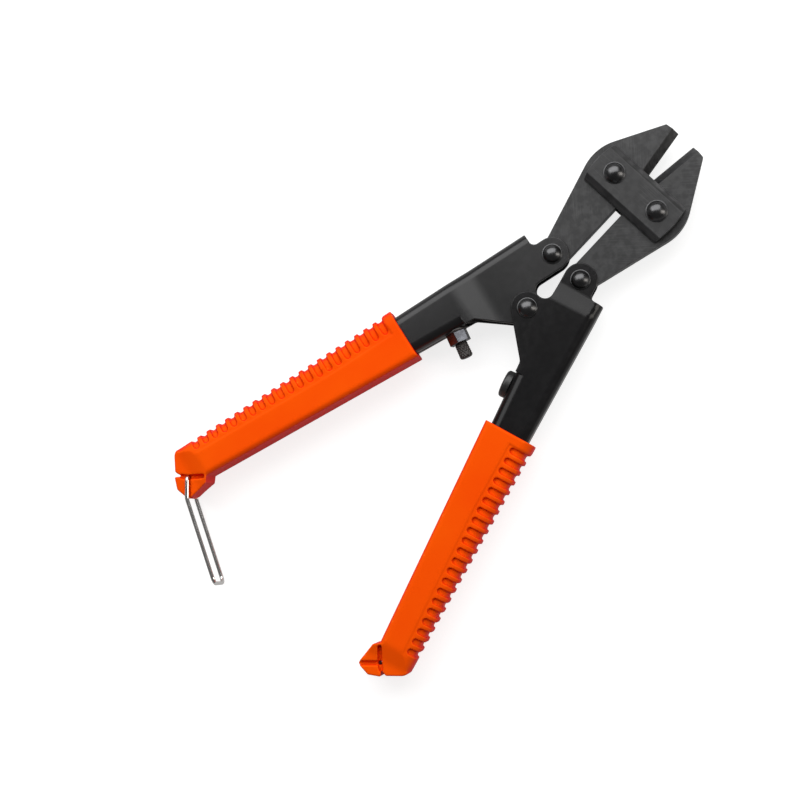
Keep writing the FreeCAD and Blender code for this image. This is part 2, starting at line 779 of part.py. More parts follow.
os.makedirs("parts", exist_ok=True)
for name, shape in nodes.items():
    placed = shape.copy()
    placed.translate(shift)
    placed.exportStep("parts/" + name + ".step")
    print(f"{name}: {placed.Volume:.1f} mm3, solids {len(placed.Solids)}, valid {placed.isValid()}")
print(f"box {whole.XLength:.2f} x {whole.YLength:.2f} x {whole.ZLength:.2f}, shift {shift}")
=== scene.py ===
import math

import bmesh
import bpy
import numpy as np
from mathutils import Matrix, Vector
from mathutils.bvhtree import BVHTree


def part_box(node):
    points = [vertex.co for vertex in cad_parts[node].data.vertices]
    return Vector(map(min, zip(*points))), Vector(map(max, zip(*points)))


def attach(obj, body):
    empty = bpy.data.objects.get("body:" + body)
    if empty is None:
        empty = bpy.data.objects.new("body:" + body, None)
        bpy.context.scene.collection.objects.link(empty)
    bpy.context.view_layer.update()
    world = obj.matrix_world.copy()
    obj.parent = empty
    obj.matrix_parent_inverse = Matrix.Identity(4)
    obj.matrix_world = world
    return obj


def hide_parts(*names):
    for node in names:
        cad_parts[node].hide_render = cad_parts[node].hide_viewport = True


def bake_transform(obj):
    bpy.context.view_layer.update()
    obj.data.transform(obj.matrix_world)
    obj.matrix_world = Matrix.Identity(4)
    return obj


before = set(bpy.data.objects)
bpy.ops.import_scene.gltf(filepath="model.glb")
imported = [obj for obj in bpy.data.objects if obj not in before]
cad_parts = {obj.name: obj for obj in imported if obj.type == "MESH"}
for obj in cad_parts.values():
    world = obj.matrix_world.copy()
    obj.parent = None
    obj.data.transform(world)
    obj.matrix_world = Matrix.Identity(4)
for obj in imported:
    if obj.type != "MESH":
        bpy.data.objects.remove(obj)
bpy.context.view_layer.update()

# ---- handles -------------------------------------------------------------------------------------
# Two levers pressed from 1.6 mm steel sheet: an open channel at the head, folded into a seamed tube
# further back. They are coated in satin black, and the coating softens every cut edge of the sheet.
MM = 0.001
EDGE_ROUND = 0.34 * MM           # softened edge of the coated sheet
STRAY_SHARE = 0.45               # of the rounding: further off the old surface is a stray point
COAT_BLACK = (0.0045, 0.0044, 0.0047, 1)
COAT_GREY = (0.0075, 0.0073, 0.0078, 1)
# painted highlight colour for the coating's convex edges
EDGE_HIGHLIGHT_GREY = (0.08, 0.078, 0.08, 1)


def eased_copy(node, name, width, segments=3, sharp=24):
    """A CAD node's surface as a new piece. Its doubled points are joined, lines inside flat areas are
    dissolved, and each edge that turns by more than `sharp` degrees is rounded to `width`. A true
    rounding lies within 0.3 of the width of the old surface, so a point that is thrown further off
    than STRAY_SHARE of the width goes back to the nearest place on that surface."""
    shape = bmesh.new()
    shape.from_mesh(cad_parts[node].data)
    bmesh.ops.remove_doubles(shape, verts=shape.verts, dist=0.002 * MM)
    flat = math.radians(0.6)
    bmesh.ops.dissolve_limit(shape, angle_limit=flat, verts=shape.verts[:], edges=shape.edges[:])
    mesh = bpy.data.meshes.new(name)
    shape.to_mesh(mesh)
    surface = BVHTree.FromBMesh(shape)
    shape.free()
    mesh.shade_smooth()
    piece = bpy.data.objects.new(name, mesh)
    bpy.context.scene.collection.objects.link(piece)
    bevel = piece.modifiers.new("eased edges", "BEVEL")
    bevel.width = width
    bevel.segments = segments
    bevel.limit_method = "ANGLE"
    bevel.angle_limit = math.radians(sharp)
    bevel.use_clamp_overlap = False
    bevel.loop_slide = False
    bevel.miter_outer = "MITER_ARC"
    depsgraph = bpy.context.evaluated_depsgraph_get()
    rounded = bpy.data.meshes.new_from_object(piece.evaluated_get(depsgraph))
    for vertex in rounded.vertices:
        nearest, _, _, distance = surface.find_nearest(vertex.co)
        if distance > STRAY_SHARE * width:
            vertex.co = nearest
    piece.modifiers.remove(bevel)
    piece.data = rounded
    rounded.shade_smooth()
    shading = piece.modifiers.new("flat faces stay flat", "WEIGHTED_NORMAL")
    shading.weight = 80
    return piece


def effect(name, inputs, outputs):
    """New shader node group with these named inputs (name, kind, value) and outputs (name, kind)."""
    group = bpy.data.node_groups.new(name, "ShaderNodeTree")
    for label, kind, value in inputs:
        socket = group.interface.new_socket(label, in_out="INPUT", socket_type="NodeSocket" + kind)
        socket.default_value = value
    for label, kind in outputs:
        group.interface.new_socket(label, in_out="OUTPUT", socket_type="NodeSocket" + kind)
    entry = group.nodes.new("NodeGroupInput")
    leave = group.nodes.new("NodeGroupOutput")
    return group, entry.outputs, leave.inputs


def add(tree, kind, links=(), **settings):
    """New node of this kind; `links` pairs an input's name or number with a value or a socket."""
    node = tree.nodes.new("ShaderNode" + kind)
    for key, value in settings.items():
        setattr(node, key, value)
    for place, value in links:
        if isinstance(value, bpy.types.NodeSocket):
            tree.links.new(value, node.inputs[place])
        else:
            node.inputs[place].default_value = value
    return node


def spread(tree, value, low, high, to_low=0.0, to_high=1.0):
    """The value's span from low to high, mapped to to_low..to_high and held there beyond it."""
    node = add(tree, "MapRange", [("Value", value), ("From Min", low), ("From Max", high),
                                  ("To Min", to_low), ("To Max", to_high)])
    return node.outputs["Result"]


def mixed(tree, share, first, second):
    """Colour between first and second by share."""
    node = add(tree, "Mix", [(0, share), (6, first), (7, second)], data_type="RGBA")
    return node.outputs[2]


def object_points(tree):
    """Places in the frame, in metres."""
    return add(tree, "TexCoord").outputs["Object"]


# Fine grain: two sizes of noise give a slow mottle in colour and sheen, and a fine bump.
grain, grain_in, grain_out = effect(
    "fine_grain",
    [("Color", "Color", (0, 0, 0, 1)), ("Mottle Color", "Color", (0, 0, 0, 1)),
     ("Mottle Scale", "Float", 60.0), ("Grain Scale", "Float", 2500.0),
     ("Roughness", "Float", 0.4), ("Roughness Spread", "Float", 0.1)],
    [("Color", "Color"), ("Roughness", "Float"), ("Height", "Float")])
slow = add(grain, "TexNoise", [("Vector", object_points(grain)), ("Scale", grain_in["Mottle Scale"]),
                               ("Detail", 4.0)])
fast = add(grain, "TexNoise", [("Vector", object_points(grain)), ("Scale", grain_in["Grain Scale"]),
                               ("Detail", 2.0)])
slow_share = spread(grain, slow.outputs[0], 0.35, 0.65)
grain.links.new(mixed(grain, slow_share, grain_in["Color"], grain_in["Mottle Color"]), grain_out["Color"])
swing = add(grain, "Math", [(0, slow_share), (1, 0.5)], operation="SUBTRACT")
swing = add(grain, "Math", [(0, swing.outputs[0]), (1, grain_in["Roughness Spread"]),
                            (2, grain_in["Roughness"])], operation="MULTIPLY_ADD")
grain.links.new(swing.outputs[0], grain_out["Roughness"])
grain.links.new(fast.outputs[0], grain_out["Height"])

# Painted highlight on convex edges, in broken patches, and painted shade in hollows.
edge_light, edge_light_in, edge_light_out = effect(
    "painted_edge_highlight_and_hollow_shade",
    [("Color", "Color", (0, 0, 0, 1)), ("Edge Highlight Color", "Color", (0.1, 0.1, 0.1, 1)),
     ("Hollow Shade Color", "Color", (0, 0, 0, 1)), ("Amount", "Float", 0.5), ("Patch Scale", "Float", 400.0)],
    [("Color", "Color"), ("Mask", "Float")])
bend = add(edge_light, "NewGeometry").outputs["Pointiness"]
patches = add(edge_light, "TexNoise", [("Vector", object_points(edge_light)), ("Scale", edge_light_in["Patch Scale"]),
                                 ("Detail", 3.0)])
patch_share = spread(edge_light, patches.outputs[0], 0.4, 0.62, 0.35, 1.0)
# Painted highlight: convex edges are lightened towards the edge colour.
convex = spread(edge_light, bend, 0.51, 0.58)
convex = add(edge_light, "Math", [(0, convex), (1, patch_share)], operation="MULTIPLY").outputs[0]
convex = add(edge_light, "Math", [(0, convex), (1, edge_light_in["Amount"])], operation="MULTIPLY").outputs[0]
# Painted shade: hollows are darkened towards the hollow colour.
hollow = spread(edge_light, bend, 0.49, 0.43)
shaded = mixed(edge_light, hollow, edge_light_in["Color"], edge_light_in["Hollow Shade Color"])
edge_light.links.new(mixed(edge_light, convex, shaded, edge_light_in["Edge Highlight Color"]), edge_light_out["Color"])
edge_light.links.new(convex, edge_light_out["Mask"])


def placed_effect(tree, group, values):
    """A node group in a material, with its inputs by name."""
    node = tree.nodes.new("ShaderNodeGroup")
    node.node_tree = group
    for label, value in values.items():
        if isinstance(value, bpy.types.NodeSocket):
            tree.links.new(value, node.inputs[label])
        else:
            node.inputs[label].default_value = value
    return node.outputs


def finish(name, color, mottle, edge, hollow_shade_color, rough, rough_spread=0.08, metallic=0.0, edge_highlight_amount=0.4,
           mottle_scale=60.0, grain_scale=2500.0, bump=0.004 * MM, coat=0.0, coat_rough=0.2,
           specular=0.5, sheen_tint=(1, 1, 1, 1)):
    """Material with a mottled, finely grained surface, a painted highlight in the edge colour on convex
    edges, and painted shade in the hollow colour in hollows.
    """
    material = bpy.data.materials.new(name)
    material.use_nodes = True
    tree = material.node_tree
    shader = tree.nodes["Principled BSDF"]
    base = placed_effect(tree, grain, {"Color": color, "Mottle Color": mottle, "Roughness": rough,
                                       "Roughness Spread": rough_spread, "Mottle Scale": mottle_scale,
                                       "Grain Scale": grain_scale})
    edge_lit_color = placed_effect(tree, edge_light, {"Color": base["Color"], "Edge Highlight Color": edge,
                                      "Hollow Shade Color": hollow_shade_color, "Amount": edge_highlight_amount})
    tree.links.new(edge_lit_color["Color"], shader.inputs["Base Color"])
    tree.links.new(base["Roughness"], shader.inputs["Roughness"])
    relief = add(tree, "Bump", [("Height", base["Height"]), ("Distance", bump), ("Strength", 1.0)])
    tree.links.new(relief.outputs[0], shader.inputs["Normal"])
    shader.inputs["Metallic"].default_value = metallic
    shader.inputs["Coat Weight"].default_value = coat
    shader.inputs["Coat Roughness"].default_value = coat_rough
    shader.inputs["Specular IOR Level"].default_value = specular
    shader.inputs["Specular Tint"].default_value = sheen_tint
    return material


def placed(piece, material, body, slot, *nodes):
    """Gives a new piece its material and its body, and hides the CAD nodes it stands for.
    The slot is not used.
    """
    piece.data.materials.clear()
    piece.data.materials.append(material)
    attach(piece, body)
    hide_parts(*nodes)
    return piece


# The left lever's coating is a little more matt than the right one's.
for side, rough, specular, coat in (("left", 0.3, 0.28, 0.28), ("right", 0.22, 0.05, 0.34)):
    coating = finish(f"{side}_satin_coating", COAT_BLACK, COAT_GREY, EDGE_HIGHLIGHT_GREY, COAT_BLACK,
                     rough=rough, rough_spread=0.05, edge_highlight_amount=0.35, mottle_scale=45,
                     grain_scale=1700, bump=0.005 * MM, coat=coat, coat_rough=0.2,
                     specular=specular)
    lever = eased_copy(f"{side}_handle", f"{side}_pressed_lever", EDGE_ROUND)
    placed(lever, coating, f"{side}_handle", "handle_paint", f"{side}_handle")

# ---- jaws ----------------------------------------------------------------------------------------
# Forged and ground tool-steel blades, blackened after grinding. Fine parallel grinding lines cross
# their flat sides, and a painted highlight makes their convex edges, the cutting edges too, a little
# brighter.
JAW_BLACK = (0.011, 0.011, 0.0114, 1)
JAW_GREY = (0.0138, 0.0138, 0.0142, 1)
# colour of the grinding lines, and of the painted highlight on convex edges
JAW_LINE_AND_EDGE_HIGHLIGHT = (0.12, 0.12, 0.123, 1)
JAW_ROUND = 0.13 * MM
GRIND_PITCH = 0.35 * MM
GRIND_ANGLE = 47.0               # lines against the tool's length, degrees

# Grinding lines: noise stretched along one direction of the part's plane.
grind, grind_in, grind_out = effect(
    "grinding_lines",
    [("Color", "Color", (0, 0, 0, 1)), ("Line Color", "Color", (0.1, 0.1, 0.1, 1)),
     ("Angle", "Float", 0.0), ("Fineness", "Float", 1 / GRIND_PITCH), ("Depth", "Float", 0.5)],
    [("Color", "Color"), ("Height", "Float")])
turn = add(grind, "VectorRotate", [("Vector", object_points(grind)), ("Angle", grind_in["Angle"])],
           rotation_type="Z_AXIS")
stretch = add(grind, "VectorMath", [(0, turn.outputs[0]), (1, (0.035, 1.0, 0.25))],
              operation="MULTIPLY")
lines = add(grind, "TexNoise", [("Vector", stretch.outputs[0]), ("Scale", grind_in["Fineness"]),
                                ("Detail", 3.0)])
zones = add(grind, "TexNoise", [("Vector", object_points(grind)), ("Scale", 90.0), ("Detail", 2.0)])
line_share = spread(grind, lines.outputs[0], 0.5, 0.72)
zone_share = spread(grind, zones.outputs[0], 0.4, 0.62)
line_share = add(grind, "Math", [(0, line_share), (1, zone_share)], operation="MULTIPLY").outputs[0]
line_share = add(grind, "Math", [(0, line_share), (1, grind_in["Depth"])],
                 operation="MULTIPLY").outputs[0]
grind.links.new(mixed(grind, line_share, grind_in["Color"], grind_in["Line Color"]),
                grind_out["Color"])
grind.links.new(lines.outputs[0], grind_out["Height"])


def ground_steel(name, color, mottle, edge, angle, rough, metallic=0.0, bump=0.004 * MM, depth=0.5,
                 edge_highlight_amount=0.5):
    """Blackened steel with grinding lines at this angle in the tool's plane. The edge colour draws the
    lines and also the painted highlight on convex edges.
    """
    material = finish(name, color, mottle, edge, color, rough, rough_spread=0.1, metallic=metallic,
                      edge_highlight_amount=edge_highlight_amount, mottle_scale=80, bump=bump, specular=0.34)
    tree = material.node_tree
    shader = tree.nodes["Principled BSDF"]
    edge_lit_color = shader.inputs["Base Color"].links[0].from_socket
    cut = placed_effect(tree, grind, {"Color": edge_lit_color, "Line Color": edge, "Angle": math.radians(angle),
                                      "Depth": depth})
    tree.links.new(cut["Color"], shader.inputs["Base Color"])
    relief = shader.inputs["Normal"].links[0].from_node
    tree.links.new(cut["Height"], relief.inputs["Height"])
    return material


for side, lean in (("left", -GRIND_ANGLE), ("right", GRIND_ANGLE)):
    blade_steel = ground_steel(f"{side}_jaw_steel", JAW_BLACK, JAW_GREY, JAW_LINE_AND_EDGE_HIGHLIGHT, lean, rough=0.4,
                               depth=0.3)
    blade = eased_copy(f"{side}_jaw", f"{side}_ground_jaw", JAW_ROUND, segments=2)
    placed(blade, blade_steel, f"{side}_jaw", "jaw_steel", f"{side}_jaw")

# ---- link plates ---------------------------------------------------------------------------------
# Two thick steel plates tie the jaws together, one on each face. Their long edges are bevelled,
# their ends are arched, and they are blackened like the jaws.
PLATE_BLACK = (0.014, 0.014, 0.0145, 1)
PLATE_GREY = (0.018, 0.018, 0.0185, 1)
PLATE_ROUND = 0.22 * MM

# The grinding-line colour also paints a highlight on the plates' convex edges.
plate_steel = ground_steel("link_plate_steel", PLATE_BLACK, PLATE_GREY, JAW_LINE_AND_EDGE_HIGHLIGHT, 90.0, rough=0.42,
                           depth=0.25)
for face in ("front", "back"):
    plate = eased_copy(f"{face}_link_plate", f"{face}_bevelled_plate", PLATE_ROUND)
    placed(plate, plate_steel, "link_plates", "plate_steel", f"{face}_link_plate")

# ---- rivets --------------------------------------------------------------------------------------
# Five solid steel rivets with polished black domes. Each dome stands on a thin flat rim that the
# riveting tool leaves round it.
RIM = 0.45 * MM
RIM_STEP = 0.35 * MM
DOME_FILLET = 0.12 * MM
LINK_SHANK = 3.0 * MM            # radii
PIVOT_SHANK = 2.5 * MM
INNER_SHEET = 4.65 * MM          # middle of the tool to the outside of the sheets that hold a jaw
RUNNING_GAP = 0.05 * MM
ROUND_STEPS = 72


def closed_grid(name, rings, first_pole, last_pole):
    """Closed surface from rings[row, step, xyz], each ring joined round, with a fan to a point at
    each end."""
    rows, steps = rings.shape[:2]
    points = np.vstack([rings.reshape(-1, 3), first_pole, last_pole])
    row = np.arange(rows - 1)[:, None] * steps
    step = np.arange(steps)[None, :]
    after = (step + 1) % steps
    quads = np.stack([row + step, row + after, row + steps + after, row + steps + step], axis=-1)
    step = np.arange(steps)
    after = (step + 1) % steps
    start = np.full(steps, rows * steps)
    end = start + 1
    last = (rows - 1) * steps
    fans = np.vstack([np.stack([start, after, step], axis=-1),
                      np.stack([end, last + step, last + after], axis=-1)])
    mesh = bpy.data.meshes.new(name)
    mesh.from_pydata(points.tolist(), [], quads.reshape(-1, 4).tolist() + fans.tolist())
    shape = bmesh.new()
    shape.from_mesh(mesh)
    bmesh.ops.recalc_face_normals(shape, faces=shape.faces[:])
    shape.to_mesh(mesh)
    shape.free()
    mesh.shade_smooth()
    piece = bpy.data.objects.new(name, mesh)
    bpy.context.scene.collection.objects.link(piece)
    return piece


def arc(centre, radius, start, end, count):
    """Points on a circle arc in a profile's (across, along) plane, angles in degrees."""
    angle = np.radians(np.linspace(start, end, count))
    return np.stack([centre[0] + radius * np.cos(angle), centre[1] + radius * np.sin(angle)], axis=-1)


def turned_piece(name, profile, base, axis):
    """Surface of revolution: each (radius, height) of the profile becomes a ring round the axis, with
    x = radius cos a, y = radius sin a and z = height in the axis's own frame."""
    axis = np.array(Vector(axis).normalized())
    across = np.array(Vector(axis).orthogonal().normalized())
    beside = np.cross(axis, across)
    angle = np.linspace(0, 2 * np.pi, ROUND_STEPS, endpoint=False)
    spoke = np.cos(angle)[:, None] * across + np.sin(angle)[:, None] * beside
    rings = (np.array(base) + profile[:, 1][:, None, None] * axis
             + profile[:, 0][:, None, None] * spoke[None])
    first = np.array(base) + profile[0, 1] * axis
    last = np.array(base) + profile[-1, 1] * axis
    return closed_grid(name, rings, first, last)


def dome_half(head, shank, seat, top):
    """Profile of one rivet end from near the pole down to the shank's middle: a sphere cap, a small
    hollow fillet, a rim with a rounded lip, and the shank."""
    base = head - RIM_STEP
    height = top - seat - RIM
    sphere = (base ** 2 + height ** 2) / (2 * height)
    reach = math.degrees(math.asin(base / sphere))
    cap = arc((0, top - sphere), sphere, 89.0, 90 - reach, 18)
    fillet = arc((base + DOME_FILLET, seat + RIM + DOME_FILLET), DOME_FILLET, 190, 262, 5)
    lip = RIM * 0.42
    rim = np.vstack([arc((head - lip, seat + RIM - lip), lip, 88, 2, 7),
                     arc((head - lip * 0.5, seat + lip * 0.5), lip * 0.5, -2, -88, 4)])
    neck = np.array([[shank, seat], [shank, seat * 0.5 if seat else 0]])
    return np.vstack([cap[:-1], fillet, rim, neck])


# Painted highlight (0.18) on the rivets' convex edges and painted shade (0.03) in their hollows.
rivet_black = finish("polished_black_rivet", (0.08, 0.08, 0.082, 1), (0.095, 0.095, 0.097, 1),
                     (0.18, 0.18, 0.183, 1), (0.03, 0.03, 0.03, 1), rough=0.29, rough_spread=0.06,
                     metallic=1.0, edge_highlight_amount=0.3, mottle_scale=300, bump=0.002 * MM)
plate_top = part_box("front_link_plate")[1].z
middle = (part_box("front_link_plate")[1].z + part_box("back_link_plate")[0].z) / 2
handle_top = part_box("left_handle")[1].z
inner_sheet_top = middle + INNER_SHEET
for name, body, seat_level, shank_radius in (
        ("left_link_rivet", "link_plates", plate_top, LINK_SHANK),
        ("right_link_rivet", "link_plates", plate_top, LINK_SHANK),
        ("left_handle_rivet", "left_handle", inner_sheet_top, PIVOT_SHANK),
        ("right_handle_rivet", "right_handle", inner_sheet_top, PIVOT_SHANK),
        ("centre_rivet", "left_handle", handle_top + RUNNING_GAP, PIVOT_SHANK)):
    low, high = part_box(name)
    half = dome_half((high.x - low.x) / 2, shank_radius, seat_level - middle, high.z - middle)
    profile = np.vstack([half, half[::-1] * (1, -1)])
    rivet_base = ((low.x + high.x) / 2, (low.y + high.y) / 2, middle)
    rivet = turned_piece("domed_" + name, profile, rivet_base, (0, 0, 1))
    placed(rivet, rivet_black, body, "rivet_black", name)

# ---- return spring and sleeve --------------------------------------------------------------------
# A close-wound torsion spring of oiled music wire sits round a steel sleeve on the centre rivet. Its
# two straight legs press the handles' webs apart.
WIRE = 0.6 * MM                  # radius
COIL = 4.6 * MM                  # radius of the wire's middle
TURNS = 3
COIL_PITCH = 1.35 * MM
LEG_LEAN = 24.0                  # degrees behind square
WIRE_SIDES = 20

spring_low, spring_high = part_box("return_spring")
centre_low, centre_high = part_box("centre_rivet")
pivot = np.array([(centre_low.x + centre_high.x) / 2, (centre_low.y + centre_high.y) / 2, middle])


def wire_rings(path, radius):
    """Rings of points square to a path that never stands upright: the path's point, plus radius
    times cos a along (tangent x up) and sin a along the third direction."""
    tangent = np.gradient(path, axis=0)
    tangent /= np.linalg.norm(tangent, axis=1)[:, None]
    side = np.cross(tangent, (0, 0, 1.0))
    side /= np.linalg.norm(side, axis=1)[:, None]
    rise = np.cross(side, tangent)
    angle = np.linspace(0, 2 * np.pi, WIRE_SIDES, endpoint=False)
    return (path[:, None] + radius * (np.cos(angle)[None, :, None] * side[:, None]
                                      + np.sin(angle)[None, :, None] * rise[:, None]))


lean = math.radians(LEG_LEAN)
swept = TURNS * 2 * math.pi + 2 * lean
turn_angle = np.linspace(0, swept, 190)
coil_height = COIL_PITCH * swept / (2 * math.pi)
coil_path = np.stack([COIL * np.cos(turn_angle - lean), COIL * np.sin(turn_angle - lean),
                      COIL_PITCH * turn_angle / (2 * math.pi) - coil_height / 2], axis=-1) + pivot
leg_reach = (spring_high.y - pivot[1] - WIRE - COIL * math.sin(lean)) / math.cos(lean)
leg_steps = np.linspace(0.04, 1, 22)[:, None] * leg_reach
lower_leg = coil_path[0] + leg_steps * (-math.sin(lean), -math.cos(lean), 0)
upper_leg = coil_path[-1] + leg_steps * (-math.sin(lean), math.cos(lean), 0)
spring_path = np.vstack([lower_leg[::-1], coil_path, upper_leg])
spring = closed_grid("wound_return_spring", wire_rings(spring_path, WIRE), spring_path[0],
                     spring_path[-1])
# Painted highlight (0.5) on the wire's convex edges and painted shade (0.1) in its hollows.
spring_steel = finish("oiled_spring_wire", (0.32, 0.32, 0.33, 1), (0.22, 0.22, 0.23, 1),
                      (0.5, 0.5, 0.5, 1), (0.1, 0.1, 0.1, 1), rough=0.32, metallic=1.0,
                      mottle_scale=500, grain_scale=4000, bump=0.003 * MM)
spring.data.materials.append(spring_steel)
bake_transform(spring)
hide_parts("return_spring")

# Painted highlight (0.35) on the sleeve's convex edges and painted shade (0.08) in its hollows.
sleeve_steel = finish("sleeve_steel", (0.2, 0.2, 0.21, 1), (0.14, 0.14, 0.145, 1),
                      (0.35, 0.35, 0.35, 1), (0.08, 0.08, 0.08, 1), rough=0.4, metallic=1.0,
                      mottle_scale=400)


def refinish(node, material):
    """A CAD node whose shape is right keeps its mesh and gets this material."""
    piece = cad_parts[node]
    for place in range(len(piece.material_slots)):
        piece.material_slots[place].material = material


refinish("centre_sleeve", sleeve_steel)

# ---- grips ---------------------------------------------------------------------------------------
# Moulded sleeves of bright orange plastic, pushed over the shanks. Their outer sides have a row of
# round-ended slots for the fingers, and each tail ends in a hooked wedge with moulded grooves.
GRIP_ORANGE = (0.93, 0.088, 0.0012, 1)
GRIP_DEEP = (0.9, 0.066, 0.0009, 1)
# painted highlight on the grips' convex edges, and painted shade in their slots and hollows
GRIP_EDGE_HIGHLIGHT = (1.0, 0.15, 0.01, 1)
GRIP_HOLLOW_SHADE = (0.6, 0.011, 0.0004, 1)
# painted shade colour for faces seen at a slant
GRIP_SLANT_SHADE = (0.78, 0.004, 0.0, 1)
OPEN_ANGLE = math.radians(14.3)  # each handle's swing from shut to this resting place
MOULD_GRID = 0.3 * MM            # fineness of the moulding's surface
PLUG_INSET = 1.5 * MM            # the shank shows this far inside the mouth
PLUG_OVERLAP = 1.06              # the plug's height and width against the shank's


def shank_plug(side, mouth, to_shut):
    """Closed hull of the shank inside a grip, a little oversize, in the shut handle's own frame."""
    bar = bmesh.new()
    bar.from_mesh(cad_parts[f"{side}_handle"].data)
    bmesh.ops.transform(bar, matrix=to_shut, verts=bar.verts[:])
    geometry = bar.verts[:] + bar.edges[:] + bar.faces[:]
    bmesh.ops.bisect_plane(bar, geom=geometry, plane_co=(mouth - PLUG_INSET, 0, 0),
                           plane_no=(1, 0, 0), clear_outer=True)
    points = np.array([vertex.co for vertex in bar.verts])
    bar.free()
    centre = (points.min(axis=0) + points.max(axis=0)) / 2
    return centre + (points - centre) * (1, PLUG_OVERLAP, PLUG_OVERLAP)


def moulded_grip(side):
    """The CAD grip as one soft-edged moulding: its surface and a plug in its socket are remade on a
    fine even grid, square to the grip itself, which also rounds every edge by about the grid."""
    sign = 1 if side == "left" else -1
    to_shut = Matrix.Rotation(sign * OPEN_ANGLE, 4, "Z") @ Matrix.Translation(-Vector(pivot))
    shape = bmesh.new()
    shape.from_mesh(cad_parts[f"{side}_grip"].data)
    bmesh.ops.remove_doubles(shape, verts=shape.verts, dist=0.002 * MM)
    bmesh.ops.transform(shape, matrix=to_shut, verts=shape.verts[:])
    mouth = max(vertex.co.x for vertex in shape.verts)
    plug = [shape.verts.new(point) for point in shank_plug(side, mouth, to_shut)]
    hull = bmesh.ops.convex_hull(shape, input=plug)
    bmesh.ops.delete(shape, geom=hull["geom_interior"], context="VERTS")
    mesh = bpy.data.meshes.new(f"{side}_rough_grip")
    shape.to_mesh(mesh)
    shape.free()
    rough = bpy.data.objects.new(f"{side}_rough_grip", mesh)
    bpy.context.scene.collection.objects.link(rough)
    remesh = rough.modifiers.new("even grid", "REMESH")
    remesh.mode = "VOXEL"
    remesh.voxel_size = MOULD_GRID
    soften = rough.modifiers.new("soft edges", "SMOOTH")
    soften.factor = 0.5
    soften.iterations = 3
    depsgraph = bpy.context.evaluated_depsgraph_get()
    smooth_mesh = bpy.data.meshes.new_from_object(rough.evaluated_get(depsgraph))
    bpy.data.objects.remove(rough)
    smooth_mesh.name = f"{side}_moulded_grip"
    smooth_mesh.transform(to_shut.inverted())
    smooth_mesh.shade_smooth()
    piece = bpy.data.objects.new(f"{side}_moulded_grip", smooth_mesh)
    bpy.context.scene.collection.objects.link(piece)
    return piece


grip_plastic = finish("orange_grip_plastic", GRIP_ORANGE, GRIP_DEEP, GRIP_EDGE_HIGHLIGHT, GRIP_HOLLOW_SHADE,
                      rough=0.5, rough_spread=0.06, edge_highlight_amount=0.5, mottle_scale=28,
                      grain_scale=2600, bump=0.005 * MM, specular=0.16,
                      sheen_tint=(1, 0.42, 0.06, 1))
# Painted shade: faces seen at a slant, such as the slot walls and the sides, are painted a deeper red.
grip_tree = grip_plastic.node_tree
grip_shader = grip_tree.nodes["Principled BSDF"]
slant = add(grip_tree, "LayerWeight", [("Blend", 0.5)]).outputs["Facing"]
slant_shade_share = spread(grip_tree, slant, 0.28, 0.75)
face_on = grip_shader.inputs["Base Color"].links[0].from_socket
grip_tree.links.new(mixed(grip_tree, slant_shade_share, face_on, GRIP_SLANT_SHADE), grip_shader.inputs["Base Color"])
for side in ("left", "right"):
    placed(moulded_grip(side), grip_plastic, f"{side}_handle", "grip_orange", f"{side}_grip")

# ---- stop screw ----------------------------------------------------------------------------------
# A knurled adjusting screw, locked by a hexagon nut on a washer, limits how far the handles close.
# It threads into a bush inside the left shank and meets a riveted button on the right shank.
KNURL_TEETH = 14
KNURL_DEPTH = 0.3 * MM
KNURL_LENGTH = 5.6 * MM
KNURL_LEAN = 1.8                 # teeth that a knurl line crosses over the knurl's length, halved
KNURL_RADIUS = 2.4 * MM
THREAD_RADIUS = 2.0 * MM
THREAD_PITCH = 0.7 * MM
THREAD_DEPTH = 0.3 * MM
SCREW_STEPS = 168


def long_axis(node):
    """End point and unit direction of a round CAD node's axis, towards -Y, with its length: the
    direction in which its points spread most."""
    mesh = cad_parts[node].data
    points = np.empty(len(mesh.vertices) * 3)
    mesh.vertices.foreach_get("co", points)
    points = np.unique(points.reshape(-1, 3).round(7), axis=0)
    low, high = points.min(axis=0), points.max(axis=0)
    centre = (low + high) / 2
    spread_axes = np.linalg.svd(points - points.mean(axis=0), full_matrices=False)[2]
    axis = spread_axes[0] * (-1 if spread_axes[0][1] > 0 else 1)
    along = (points - centre) @ axis
    return centre + axis * along.min(), axis, along.max() - along.min()


def zigzag(value):
    """Triangle wave: 0 at whole numbers, 1 half way between them."""
    return 1 - np.abs(2 * (value - np.floor(value)) - 1)


